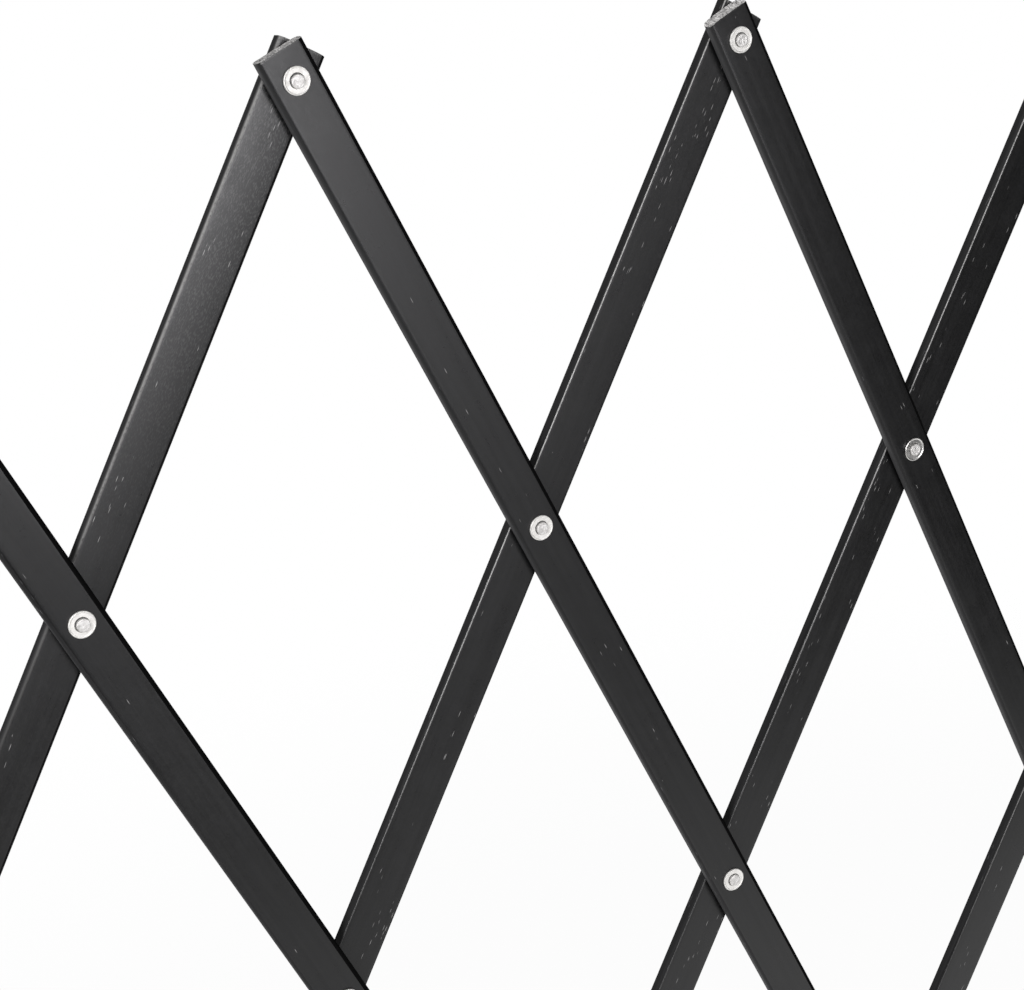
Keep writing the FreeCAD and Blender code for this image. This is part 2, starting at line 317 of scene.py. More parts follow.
def blackWood(name, onSlat):
    material, tree, shader = newMaterial(name)
    if onSlat:
        place = attribute(tree, "slatPlace", "Vector")
        grain = grainOf(tree, place, attribute(tree, "poreAndGlintShare"), attribute(tree, "fineShare"))
    else:
        place = objectPlace(tree)
        grain = grainOf(tree, place, postLook["pores"], postLook["fine"])
    broad = rubOf(tree, place, woodLook["broadFineness"])
    mottle = rubOf(tree, place, woodLook["mottleFineness"])
    stain = mixColour(tree, ramp(tree, grain["Streak"], *noiseReach), woodLook["deep"], woodLook["pale"])
    # Pale pore flecks: partly real pores, partly painted glint, set far denser on the rear slats
    flecked = mixColour(tree, grain["Pore"], stain, woodLook["flecks"])
    rub = slatRubAndHighlight(tree, place, mottle) if onSlat else postRub(tree, place)
    sheen = calc(tree, "ADD", calc(tree, "MULTIPLY", grain["Streak"], woodLook["streakSheen"]), calc(
        tree, "ADD", calc(tree, "MULTIPLY", broad, woodLook["broadSheen"]),
        calc(tree, "MULTIPLY", mottle, woodLook["mottleSheen"])))
    dress(tree, shader, mixColour(tree, rub, flecked, woodLook["rubbedAndHighlight"]),
          ramp(tree, sheen, *woodLook["sheenRange"], woodLook["smooth"], woodLook["dull"]),
          grain["Height"], woodLook["bump"], woodLook["relief"])
    return material


slatWood = blackWood("slatWood", True)
postWood = blackWood("postWood", False)

# Narrow sides are brushed over once and the stain is matt; they are lighter towards the back as a painted
# reflection and darker on the right as painted shade
sideLook = {
    "front": {
        "deep": 0.006, "pale": 0.014, "backSheen": 0.046, "backSheenFrom": 0.06, "backSheenTo": 0.36,
        "right": 0.001, "gloss": 0.26},
    "rear": {
        "deep": 0.013, "pale": 0.030, "backSheen": 0.018, "backSheenFrom": 0.25, "backSheenTo": 0.58,
        "right": 0.004, "gloss": 0.05},
    # Painted shade: near black for the right sides of the front slats
    "shade": {
        "deep": 0.001, "pale": 0.002, "backSheen": 0.002, "backSheenFrom": 0.25, "backSheenTo": 0.58,
        "right": 0.003, "gloss": 0.01},
    "flecks": 0.08, "pores": 0.12, "fine": 0.1, "blueCast": 1.01,
    "smooth": 0.55, "dull": 0.72, "bump": 0.4, "relief": 0.05 * mm,
}


def grey(value):
    return (value, value, value * sideLook["blueCast"], 1)


def sideWood(layer):
    look = sideLook[layer]
    material, tree, shader = newMaterial(layer + "Side")
    grain = grainOf(tree, attribute(tree, "slatPlace", "Vector"), sideLook["pores"], sideLook["fine"])
    stain = mixColour(tree, ramp(tree, grain["Streak"], *noiseReach), grey(look["deep"]), grey(look["pale"]))
    # Painted reflection: the side's colour turns towards the back colour near its back edge
    backSheenShare = ramp(tree, attribute(tree, "backness"), look["backSheenFrom"], look["backSheenTo"])
    backSheened = mixColour(tree, backSheenShare, stain, grey(look["backSheen"]))
    leftColour = mixColour(tree, grain["Pore"], backSheened, grey(sideLook["flecks"]))
    # Painted shade: right sides take the dark right colour
    colour = mixColour(tree, attribute(tree, "leftSide"), grey(look["right"]), leftColour)
    # Where the edge mark reaches the side, it takes the same pale colour: painted highlight, partly wear
    dress(tree, shader, mixColour(tree, attribute(tree, "edgeWearAndHighlight"), colour, woodLook["rubbedAndHighlight"]),
          ramp(tree, grain["Streak"], *noiseReach, sideLook["smooth"], sideLook["dull"]),
          grain["Height"], sideLook["bump"], sideLook["relief"])
    shader.inputs["Specular IOR Level"].default_value = look["gloss"]
    return material


sideWoods = {layer: sideWood(layer) for layer in ("front", "rear", "shade")}

# Sawn ends take the stain unevenly, so the torn fibres show pale
sawnLook = {
    "soaked": (0.014, 0.014, 0.014, 1), "torn": (0.74, 0.73, 0.71, 1), "smooth": 0.6, "dull": 0.85,
    "bump": 0.9, "relief": 0.4 * mm, "gloss": 0.2,
}
sawnEnd, sawnNodes, sawnShader = newMaterial("sawnEnd")
# How pale each slat's sawn end is, is set per slat: partly wear, partly painted light for how the end faces
# the light
sawnFibres = fibresOf(sawnNodes, attribute(sawnNodes, "slatPlace", "Vector"), attribute(sawnNodes, "endWearAndLight"))
dress(sawnNodes, sawnShader, mixColour(sawnNodes, sawnFibres["Torn"], sawnLook["soaked"], sawnLook["torn"]),
      ramp(sawnNodes, sawnFibres["Height"], *noiseReach, sawnLook["smooth"], sawnLook["dull"]),
      sawnFibres["Height"], sawnLook["bump"], sawnLook["relief"])
sawnShader.inputs["Specular IOR Level"].default_value = sawnLook["gloss"]

# Zinc on steel, with the cloudy bloom of handled fasteners, and painted shade, a dark grey, in the gap round
# a peened end and in the washers' recess
zincLook = {
    "gapShade": (0.12, 0.12, 0.117, 1), "fineness": 520.0, "cloudRange": (0.35, 0.65), "bump": 0.25,
    "relief": 0.08 * mm,
    "washer": {
        "bright": (0.93, 0.92, 0.89, 1), "cloudy": (0.84, 0.83, 0.80, 1), "smooth": 0.24, "dull": 0.36},
    "rivet": {
        "bright": (0.84, 0.83, 0.81, 1), "cloudy": (0.66, 0.65, 0.63, 1), "smooth": 0.54, "dull": 0.68},
}


def zincFinish(kind):
    look = zincLook[kind]
    material, tree, shader = newMaterial(kind + "Zinc")
    rub = rubOf(tree, objectPlace(tree), zincLook["fineness"])
    clean = mixColour(tree, ramp(tree, rub, *zincLook["cloudRange"]), look["bright"], look["cloudy"])
    roughness = calc(tree, "ADD", attribute(tree, "dullness"), ramp(
        tree, rub, *noiseReach, look["smooth"], look["dull"]))
    # Painted shade: the marked recess and gap take a dark grey, standing in for the shade that falls there
    dress(tree, shader, mixColour(tree, attribute(tree, "gapShade"), clean, zincLook["gapShade"]), roughness,
          rub, zincLook["bump"], zincLook["relief"])
    shader.inputs["Metallic"].default_value = 1.0
    return material


washerZinc, rivetZinc = zincFinish("washer"), zincFinish("rivet")

# Moulded black nylon
nylonLook = {
    "deep": (0.010, 0.010, 0.011, 1), "pale": (0.020, 0.020, 0.021, 1), "fineness": 1800.0,
    "smooth": 0.42, "dull": 0.58, "bump": 0.3, "relief": 0.05 * mm,
}
nylon, nylonNodes, nylonShader = newMaterial("spacerNylon")
nylonNoise = noise(nylonNodes, objectPlace(nylonNodes), nylonLook["fineness"], detail=3.0)
dress(nylonNodes, nylonShader, mixColour(nylonNodes, nylonNoise, nylonLook["deep"], nylonLook["pale"]),
      ramp(nylonNodes, nylonNoise, *noiseReach, nylonLook["smooth"], nylonLook["dull"]),
      nylonNoise, nylonLook["bump"], nylonLook["relief"])
print("finishes ready:", len(bpy.data.materials))


def placeOf(tree):
    return addNode(tree, "GeometryNodeInputPosition").outputs[0]


def indexOf(tree):
    return addNode(tree, "GeometryNodeInputIndex").outputs[0]


def moved(tree, geometry, position):
    return addNode(tree, "GeometryNodeSetPosition", {"Geometry": geometry, "Position": position}).outputs[0]


def pushed(tree, geometry, offset):
    return addNode(tree, "GeometryNodeSetPosition", {"Geometry": geometry, "Offset": offset}).outputs[0]


def kept(tree, geometry, name, value, kind="FLOAT"):
    return addNode(tree, "GeometryNodeStoreNamedAttribute", {
        "Geometry": geometry, "Name": name, "Value": value}, data_type=kind).outputs[0]


def smoothed(tree, geometry, sharpAngle):
    soft = addNode(tree, "GeometryNodeSetShadeSmooth", {"Geometry": geometry, "Shade Smooth": True})
    angle = addNode(tree, "GeometryNodeInputMeshEdgeAngle").outputs[0]
    return addNode(tree, "GeometryNodeSetShadeSmooth", {
        "Geometry": soft.outputs[0], "Selection": calc(tree, "GREATER_THAN", angle, math.radians(sharpAngle)),
        "Shade Smooth": False}, domain="EDGE").outputs[0]


def upended(tree, geometry):
    return addNode(tree, "GeometryNodeTransform", {
        "Geometry": geometry, "Rotation": (math.radians(90), 0.0, 0.0)}).outputs[0]


def rowPoints(tree, count, first, step):
    return addNode(tree, "GeometryNodeMeshLine", {
        "Count": count, "Start Location": first, "Offset": step}).outputs[0]


def realised(tree, geometry):
    return addNode(tree, "GeometryNodeRealizeInstances", {"Geometry": geometry}).outputs[0]


def setAlong(tree, points, instance):
    return realised(tree, addNode(tree, "GeometryNodeInstanceOnPoints", {
        "Points": points, "Instance": instance}).outputs[0])


def finished(tree, geometry, material):
    return addNode(tree, "GeometryNodeSetMaterial", {
        "Geometry": realised(tree, geometry), "Material": material}).outputs[0]


# A rounded rectangle in the XY plane, with extra points along its long sides so that they can be crowned
profileForm = {"cornerSteps": 5, "longShare": 0.75}


def roundedProfile(tree, width, height, radius, cuts):
    outline = addNode(tree, "GeometryNodeCurvePrimitiveQuadrilateral", {"Width": width, "Height": height})
    rounded = addNode(tree, "GeometryNodeFilletCurve", {
        "Curve": outline.outputs[0], "Count": profileForm["cornerSteps"], "Radius": radius,
        "Limit Radius": True}, mode="POLY").outputs[0]
    place = placeOf(tree)
    points = addNode(tree, "GeometryNodeAttributeDomainSize", {"Geometry": rounded}, component="CURVE")
    nextIndex = calc(tree, "MODULO", calc(tree, "ADD", indexOf(tree), 1), points.outputs["Point Count"])
    nextPlace = addNode(tree, "GeometryNodeFieldAtIndex", {
        "Value": place, "Index": nextIndex}, data_type="FLOAT_VECTOR")
    run = vectorCalc(tree, "DISTANCE", place, nextPlace.outputs[0])
    longSide = calc(tree, "GREATER_THAN", run, calc(tree, "MULTIPLY", height, profileForm["longShare"]))
    return addNode(tree, "GeometryNodeSubdivideCurve", {
        "Curve": rounded, "Cuts": calc(tree, "MULTIPLY", longSide, cuts)}).outputs[0]


# A slat lies along Z while it is made: crowned faces, eased edges, sawn ends and a bore at each rivet
slatForm = {
    "profileCuts": 17.0, "capReach": 0.8, "sawScale": 800.0, "cornerPower": 5.0, "boreSides": 24,
    "boreReach": 1.6, "sharpAngle": 40, "rightLimit": 0.12, "endLimit": 0.55, "secondCrossing": 0.32,
    "edgeMarkFade": 0.6, "lowEdgeMark": 0.12, "sawRange": (0.25, 0.75), "poreFade": (-0.3, 0.8, 0.3, 1.0),
    "toothFade": (0.3, 0.9, 0.1, 1.0), "bandFrom": (0.08, 0.3), "bandTo": (0.6, 0.9), "leastTurn": 0.02,
}
slatTree, slatIn, slatOut = newTree("GeometryNodeTree", "slat", {
    **dict.fromkeys((
        "Length", "Width", "Thickness", "Edge Radius", "Crown", "End Bevel", "Saw Wander", "Saw Tilt",
        "Saw Skew", "Corner Drop", "Left Limit", "Low Limit", "Wear And Highlight Foot", "Bore", "Pitch", "End Wear And Light",
        "Edge Wear And Highlight", "Pore And Glint Share", "Fine Share", "Station"), "Float"),
    **dict.fromkeys(("Wood", "Side", "Right Side", "Sawn End"), "Material"),
    "End Loops": "Int", "Bores": "Int", "Lean": "Rotation", "Middle": "Vector", "Grain Offset": "Vector",
}, {"Geometry": "Geometry"})
slatCalc, slatRamp = partial(calc, slatTree), partial(ramp, slatTree)
halfLength, halfWidth, halfThick = (
    halfOf(slatTree, slatIn[name]) for name in ("Length", "Width", "Thickness"))
innerHalf = slatCalc("SUBTRACT", halfLength, slatIn["End Bevel"])
stations = slatCalc("ROUND", slatCalc("DIVIDE", innerHalf, halfOf(slatTree, slatIn["Station"])))
stationStep = slatCalc("DIVIDE", slatCalc("MULTIPLY", innerHalf, 2.0), stations)
lineHalf = slatCalc("MULTIPLY_ADD", stationStep, slatIn["End Loops"], innerHalf)
spine = addNode(slatTree, "GeometryNodeCurvePrimitiveLine", {
    "Start": joined(slatTree, 0.0, 0.0, slatCalc("MULTIPLY", lineHalf, -1.0)),
    "End": joined(slatTree, 0.0, 0.0, lineHalf)})
spineCount = slatCalc("ADD", slatCalc("MULTIPLY_ADD", slatIn["End Loops"], 2.0, stations), 1.0)
spineSteps = addNode(slatTree, "GeometryNodeResampleCurve", {"Curve": spine.outputs[0], "Count": spineCount})
slatProfile = roundedProfile(
    slatTree, slatIn["Width"], slatIn["Thickness"], slatIn["Edge Radius"], slatForm["profileCuts"])
stick = addNode(slatTree, "GeometryNodeCurveToMesh", {
    "Curve": spineSteps.outputs[0], "Profile Curve": slatProfile, "Fill Caps": True}).outputs[0]

# Stations past the length become loops that close the sawn end, eased at its rim and torn a little inside
across, depth, along = parted(slatTree, placeOf(slatTree))
side = slatCalc("DIVIDE", across, halfWidth)
depthShare = slatCalc("DIVIDE", depth, halfThick)
crownDrop = slatCalc("MULTIPLY", slatCalc("MULTIPLY", side, side), slatIn["Crown"])
crownedDepth = slatCalc("SUBTRACT", depth, slatCalc("MULTIPLY", depthShare, crownDrop))
fromMiddle = slatCalc("ABSOLUTE", along)
endLoop = slatCalc("MAXIMUM", 0.0, slatCalc("ROUND", slatCalc(
    "DIVIDE", slatCalc("SUBTRACT", fromMiddle, innerHalf), stationStep)))
pastEnd = slatCalc("MINIMUM", endLoop, 1.0)
loopStep = slatCalc("DIVIDE", slatCalc("MULTIPLY", halfThick, slatForm["capReach"]), slatIn["End Loops"])
innerLoops = slatCalc("MAXIMUM", 0.0, slatCalc("SUBTRACT", endLoop, 1.0))
inset = slatCalc("MULTIPLY_ADD", innerLoops, loopStep, slatCalc("MULTIPLY", pastEnd, slatIn["End Bevel"]))
shrinkWidth = slatCalc("SUBTRACT", 1.0, slatCalc("DIVIDE", inset, halfWidth))
shrinkThick = slatCalc("SUBTRACT", 1.0, slatCalc("DIVIDE", inset, halfThick))
easedAcross = slatCalc("MULTIPLY", across, shrinkWidth)
easedDepth = slatCalc("MULTIPLY", crownedDepth, shrinkThick)
endSign = slatCalc("SIGN", along)
sawPlace = vectorCalc(
    slatTree, "ADD", joined(slatTree, easedAcross, easedDepth, endSign), slatIn["Grain Offset"])
sawNoise = noise(slatTree, sawPlace, slatForm["sawScale"], detail=3.0, roughness=0.65)
wander = slatCalc("MULTIPLY", slatCalc("MULTIPLY", pastEnd, slatIn["Saw Wander"]), slatRamp(
    sawNoise, *slatForm["sawRange"], kind="LINEAR"))
# The saw leans through the thickness and to one side, and the corners are rubbed back
backness = slatCalc("MULTIPLY_ADD", depthShare, 0.5, 0.5)
rightness = slatCalc("MULTIPLY_ADD", side, 0.5, 0.5)
tilted = slatCalc("MULTIPLY", backness, slatIn["Saw Tilt"])
tiltRoom = slatCalc("MAXIMUM", tilted, slatCalc("SUBTRACT", tilted, slatIn["Saw Tilt"]))
leaning = slatCalc("MULTIPLY_ADD", rightness, slatIn["Saw Skew"], tiltRoom)
cornerShare = slatCalc("POWER", slatCalc("ABSOLUTE", side), slatForm["cornerPower"])
shortened = slatCalc("MULTIPLY_ADD", cornerShare, slatIn["Corner Drop"], leaning)
lengthShare = slatCalc("SUBTRACT", 1.0, slatCalc("DIVIDE", shortened, halfLength))
reached = slatCalc("MULTIPLY", slatCalc("MINIMUM", fromMiddle, halfLength), lengthShare)
heldAlong = slatCalc("MULTIPLY", endSign, slatCalc("SUBTRACT", reached, wander))
shaped = moved(slatTree, stick, joined(slatTree, easedAcross, easedDepth, heldAlong))

# Bores for the rivets
firstBore = slatCalc("MULTIPLY", slatCalc("SUBTRACT", slatIn["Bores"], 1.0), slatCalc(
    "MULTIPLY", slatIn["Pitch"], -0.5))
boreRow = rowPoints(slatTree, slatIn["Bores"], joined(slatTree, 0.0, 0.0, firstBore), joined(
    slatTree, 0.0, 0.0, slatIn["Pitch"]))
boreCut = addNode(slatTree, "GeometryNodeMeshCylinder", {
    "Vertices": slatForm["boreSides"], "Radius": halfOf(slatTree, slatIn["Bore"]),
    "Depth": slatCalc("MULTIPLY", slatIn["Thickness"], slatForm["boreReach"])}).outputs[0]
bored = addNode(slatTree, "GeometryNodeMeshBoolean", {
    "Mesh 1": shaped, "Mesh 2": setAlong(slatTree, boreRow, upended(slatTree, boreCut)),
}, operation="DIFFERENCE", solver="EXACT").outputs[0]

# The place in the slat is kept for the grain; pale pore flecks, partly painted glint, and the fine tooth thin
# out towards the lower end
slatPlace = placeOf(slatTree)
grainPlace = vectorCalc(slatTree, "ADD", slatPlace, slatIn["Grain Offset"])
marked = kept(slatTree, bored, "slatPlace", grainPlace, "FLOAT_VECTOR")
placeAcross, placeDepth, placeAlong = parted(slatTree, slatPlace)
heightOn = slatCalc("DIVIDE", placeAlong, halfLength)
poreHeightFade = slatRamp(heightOn, *slatForm["poreFade"])
toothHeightFade = slatRamp(heightOn, *slatForm["toothFade"])
for label, value in (
        ("endWearAndLight", slatIn["End Wear And Light"]),
        ("poreAndGlintShare", slatCalc("MULTIPLY", slatIn["Pore And Glint Share"], poreHeightFade)),
        ("fineShare", slatCalc("MULTIPLY", slatIn["Fine Share"], toothHeightFade)),
        ("tipDistance", slatCalc("SUBTRACT", halfLength, slatCalc("ABSOLUTE", placeAlong))),
        ("backness", slatCalc("MULTIPLY_ADD", slatCalc("DIVIDE", placeDepth, halfThick), 0.5, 0.5)),
        ("leftSide", slatCalc("LESS_THAN", placeAcross, 0.0))):
    marked = kept(slatTree, marked, label, value)


# How far a point has gone round the eased front left edge, seen from the face and from the side
def roundEdge(value, half):
    past = slatCalc("SUBTRACT", slatCalc("MULTIPLY", value, -1.0), slatCalc(
        "SUBTRACT", half, slatIn["Edge Radius"]))
    return slatCalc("DIVIDE", past, slatIn["Edge Radius"], clamp=True)


edgeTurn = roundEdge(placeAcross, halfWidth)
edgeBand = slatCalc("MULTIPLY", slatRamp(edgeTurn, *slatForm["bandFrom"]), slatRamp(
    edgeTurn, *slatForm["bandTo"], 1.0, 0.0))
frontTurn = slatCalc("GREATER_THAN", roundEdge(placeDepth, halfThick), slatForm["leastTurn"])
frontEdge = slatCalc("MULTIPLY", edgeBand, frontTurn)
# Low on the slat the painted edge highlight, partly wear, is held weak
edgeMarkTop = slatCalc("ADD", slatIn["Wear And Highlight Foot"], slatForm["edgeMarkFade"])
heldEdgeMark = slatRamp(heightOn, slatIn["Wear And Highlight Foot"], edgeMarkTop, slatForm["lowEdgeMark"], 1.0)
marked = kept(slatTree, marked, "edgeWearAndHighlight", slatCalc(
    "MULTIPLY", frontEdge, slatCalc("MULTIPLY", slatIn["Edge Wear And Highlight"], heldEdgeMark)))
wooden = finished(slatTree, smoothed(slatTree, marked, slatForm["sharpAngle"]), slatIn["Wood"])
faceTurn = parted(slatTree, addNode(slatTree, "GeometryNodeInputNormal").outputs["True Normal"])


def painted(geometry, direction, limit, material):
    chosen = slatCalc("GREATER_THAN", slatCalc("ABSOLUTE", direction), limit)
    return addNode(slatTree, "GeometryNodeSetMaterial", {
        "Geometry": geometry, "Material": material, "Selection": chosen}).outputs[0]


# Below the second crossing the brush took in more of the eased edge
leftLimit = mixValue(slatTree, slatCalc("GREATER_THAN", heightOn, slatForm["secondCrossing"]),
                     slatIn["Low Limit"], slatIn["Left Limit"])
rightTurn = slatCalc("MAXIMUM", faceTurn[0], 0.0)
leftDone = painted(wooden, faceTurn[0], leftLimit, slatIn["Side"])
rightDone = painted(leftDone, rightTurn, slatForm["rightLimit"], slatIn["Right Side"])
ended = painted(rightDone, faceTurn[2], slatForm["endLimit"], slatIn["Sawn End"])
leaned = addNode(slatTree, "GeometryNodeTransform", {
    "Geometry": ended, "Translation": slatIn["Middle"], "Rotation": slatIn["Lean"]})
slatTree.links.new(leaned.outputs[0], slatOut["Geometry"])

# Each slat's own lengths are in mm, and its wear and painted edge highlight, paint limits and pores are
# shares
slats = {
    "width": 20 * mm, "endBevel": 0.25 * mm, "endLoops": 7, "bore": 4.1 * mm, "pitch": 210 * mm,
    "tip": 13 * mm, "lean": math.radians(27.3), "station": 5 * mm, "grainStep": (0.37, 0.0, 1.3),
    "grainSeed": {"front": (1, 2, 3, 4, 5, 6), "rear": (11, 12, 23, 14, 15, 16)},
    "rightSide": {"front": "shade", "rear": "rear"},
    "ownLengths": {
        "Edge Radius": {"front": (1.9, 1.8, 2.0, 1.9, 1.8, 1.9), "rear": (1.0, 1.5, 0.55, 0.6, 0.6, 0.8)},
        "Crown": {
            "front": (0.10, 0.05, 0.06, 0.08, 0.10, 0.07), "rear": (0.12, 0.29, 0.07, 0.06, 0.12, 0.09)},
        "Saw Wander": {"front": (0.4, 0.5, 0.4, 0.6, 1.0, 0.5), "rear": (0.5, 0.6, 0.5, 0.4, 0.5, 0.5)},
        "Saw Skew": {"front": (0.2, 0.1, 0.3, 0.8, 0.0, 0.2), "rear": (0.1, 0.0, 0.2, 0.1, 0.0, 0.3)},
        "Saw Tilt": {"front": (0.3, 0.6, 0.4, 0.2, -0.7, 0.5), "rear": (0.5, 0.4, 0.6, 0.8, 0.3, 0.5)},
        "Corner Drop": {"front": (0.2, 0.3, 0.2, 0.0, 0.7, 0.3), "rear": (0.2, 0.3, 0.2, 0.3, 0.2, 0.2)},
    },
    "ownShares": {
        # Sawn end paleness per slat: partly wear, partly painted light
        "End Wear And Light": {"front": (0.4, 0.5, 0.45, 0.5, 0.56, 0.5), "rear": (0.5, 0.7, 0.6, 0.5, 0.6, 0.5)},
        # Painted edge highlight, partly wear, only on the rear slats
        "Edge Wear And Highlight": {"front": (0.0,) * 6, "rear": (0.5, 0.36, 0.72, 0.62, 0.6, 0.55)},
        "Wear And Highlight Foot": {"front": (0.0,) * 6, "rear": (0.0, 0.1, 0.0, 0.0, 0.0, 0.0)},
        "Left Limit": {"front": (0.3,) * 6, "rear": (0.8, 0.5, 0.8, 0.8, 0.8, 0.8)},
        "Low Limit": {"front": (0.3,) * 6, "rear": (0.8, 0.2, 0.8, 0.8, 0.8, 0.8)},
        # Pale pore flecks, partly painted glint: denser on the rear slats
        "Pore And Glint Share": {
            "front": (0.03, 0.03, 0.02, 0.03, 0.02, 0.03), "rear": (0.16, 0.15, 0.32, 0.14, 0.16, 0.16)},
        "Fine Share": {
            "front": (0.03, 0.02, 0.02, 0.04, 0.01, 0.02), "rear": (0.2, 0.75, 0.1, 0.05, 0.1, 0.1)},
    },
}
for layer, direction in (("front", -1), ("rear", 1)):
    for spot in range(6):
        node = f"{layer}_slat_{spot + 1}"
        low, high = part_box(node)
        lean = slats["lean"]
        length = (high.z - low.z - slats["width"] * math.sin(lean)) / math.cos(lean)
        grow(node + "_wood", slatTree, {
            **{name: values[layer][spot] * mm for name, values in slats["ownLengths"].items()},
            **{name: values[layer][spot] for name, values in slats["ownShares"].items()},
            "Length": length, "Width": slats["width"], "Thickness": high.y - low.y,
            "End Bevel": slats["endBevel"], "End Loops": slats["endLoops"], "Station": slats["station"],
            "Bore": slats["bore"], "Pitch": slats["pitch"],
            "Bores": round((length - 2 * slats["tip"]) / slats["pitch"]) + 1,
            "Lean": (0.0, direction * lean, 0.0), "Middle": (low + high) / 2,
            "Grain Offset": [step * slats["grainSeed"][layer][spot] for step in slats["grainStep"]],
            "Wood": slatWood, "Side": sideWoods[layer], "Right Side": sideWoods[slats["rightSide"][layer]],
            "Sawn End": sawnEnd,
        }, node, "black_wood", node)
print("slats made: 12")

# Rings lie round Z while they are made, with the face that shows towards +Z
ringForm = {
    "around": 64, "profileCuts": 23.0, "sharpAngle": 50, "dentScale": 300.0, "leastWidth": 0.01 * mm,
    "recessWall": (0.93, 1.0), "faceShare": 0.45,
}
ringTree, ringIn, ringOut = newTree("GeometryNodeTree", "ring", {
    **dict.fromkeys((
        "Outer Diameter", "Hole Diameter", "Thickness", "Edge Radius", "Recess Diameter", "Recess Depth",
        "Rim Width", "Face Drop", "Dent", "Dullness", "Seed"), "Float"),
    "Polished": "Int", "Count": "Int", "First": "Vector", "Step": "Vector", "Finish": "Material",
}, {"Geometry": "Geometry"})
ringCalc, ringRamp = partial(calc, ringTree), partial(ramp, ringTree)
ringWall = halfOf(ringTree, ringCalc("SUBTRACT", ringIn["Outer Diameter"], ringIn["Hole Diameter"]))
ringPath = addNode(ringTree, "GeometryNodeCurvePrimitiveCircle", {
    "Resolution": ringForm["around"], "Radius": ringCalc("MULTIPLY", ringCalc(
        "ADD", ringIn["Outer Diameter"], ringIn["Hole Diameter"]), 0.25)}).outputs[0]
ringProfile = roundedProfile(
    ringTree, ringWall, ringIn["Thickness"], ringIn["Edge Radius"], ringForm["profileCuts"])
ringMesh = addNode(ringTree, "GeometryNodeCurveToMesh", {
    "Curve": ringPath, "Profile Curve": ringProfile}).outputs[0]
ringX, ringY, ringZ = parted(ringTree, placeOf(ringTree))
ringReach = vectorCalc(ringTree, "LENGTH", joined(ringTree, ringX, ringY, 0.0))
recessHalf = ringCalc("MAXIMUM", halfOf(ringTree, ringIn["Recess Diameter"]), ringForm["leastWidth"])
recessShare = ringCalc("DIVIDE", ringReach, recessHalf)
recessed = ringCalc("SUBTRACT", 1.0, ringRamp(recessShare, *ringForm["recessWall"]))
onFace = ringRamp(ringZ, 0.0, ringCalc("MULTIPLY", ringIn["Thickness"], ringForm["faceShare"]))
rimHalf = ringCalc("SUBTRACT", halfOf(ringTree, ringIn["Outer Diameter"]), ringIn["Edge Radius"])
rimWidth = ringCalc("MAXIMUM", ringIn["Rim Width"], ringForm["leastWidth"])
belowRim = ringRamp(ringCalc("SUBTRACT", rimHalf, ringReach), 0.0, rimWidth)
sunk = ringCalc("MULTIPLY", onFace, ringCalc(
    "MULTIPLY_ADD", recessed, ringIn["Recess Depth"], ringCalc("MULTIPLY", belowRim, ringIn["Face Drop"])))
# Marked before the face is sunk, while its own place still tells the recess
# Painted shade is marked on the recess wall, where shade falls
gapShaded = kept(ringTree, ringMesh, "gapShade", ringCalc("MULTIPLY", onFace, recessed))
dished = moved(ringTree, gapShaded, joined(ringTree, ringX, ringY, ringCalc("SUBTRACT", ringZ, sunk)))
ringTurned = upended(ringTree, smoothed(ringTree, dished, ringForm["sharpAngle"]))
ringRow = rowPoints(ringTree, ringIn["Count"], ringIn["First"], ringIn["Step"])
# All rings of a row are dull but the one that hands have polished
polished = ringCalc("COMPARE", indexOf(ringTree), ringIn["Polished"], 0.5)
ringDullness = ringCalc("MULTIPLY", ringIn["Dullness"], ringCalc("SUBTRACT", 1.0, polished))
rings = setAlong(ringTree, kept(ringTree, ringRow, "dullness", ringDullness), ringTurned)
dentNoise = noise(ringTree, placeOf(ringTree), ringForm["dentScale"], detail=1.0, seed=ringIn["Seed"])
dentPush = ringCalc("MULTIPLY", ringCalc("MULTIPLY", dentNoise, ringIn["Dent"]), -1.0)
dented = pushed(ringTree, rings, vectorCalc(
    ringTree, "MULTIPLY", addNode(ringTree, "GeometryNodeInputNormal").outputs[0],
    joined(ringTree, dentPush, dentPush, dentPush)))
ringTree.links.new(finished(ringTree, dented, ringIn["Finish"]), ringOut["Geometry"])

# A rivet stands on Z while it is made, its hammered end towards +Z and its domed head towards -Z
rivetForm = {
    "around": 48, "rings": 15, "sideSteps": 3, "endLevel": 0.4, "sharpAngle": 45, "blowScale": 760.0,
    "shiftUp": -0.8, "struckFade": (0.55, 0.92, 1.0, 0.0), "footShade": (0.95, 1.0, 0.0, 0.3),
    "crownRise": ((0.0, 0.95), (1.0, 0.0), (0.5, 1.0), (0.82, 0.97), (0.93, 0.84)),
    "headRise": ((0.0, 1.0), (1.0, 0.1), (0.35, 0.95), (0.7, 0.74), (0.93, 0.36)),
}
rivetTree, rivetIn, rivetOut = newTree("GeometryNodeTree", "rivet", {
    **dict.fromkeys((
        "Shank Diameter", "Head Diameter", "Head Height", "Crown Diameter", "Crown Height", "Grip", "Sink",
        "Hammering", "Off Centre"), "Float"),
    "Count": "Int", "First": "Vector", "Step": "Vector", "Seed": "Int", "Finish": "Material",
}, {"Geometry": "Geometry"})
rivetCalc, rivetRamp = partial(calc, rivetTree), partial(ramp, rivetTree)
blank = addNode(rivetTree, "GeometryNodeMeshCylinder", {
    "Vertices": rivetForm["around"], "Side Segments": rivetForm["sideSteps"],
    "Fill Segments": rivetForm["rings"], "Radius": 1.0, "Depth": 1.0}, fill_type="TRIANGLE_FAN").outputs[0]
blankX, blankY, blankZ = parted(rivetTree, placeOf(rivetTree))
reach = vectorCalc(rivetTree, "LENGTH", joined(rivetTree, blankX, blankY, 0.0))
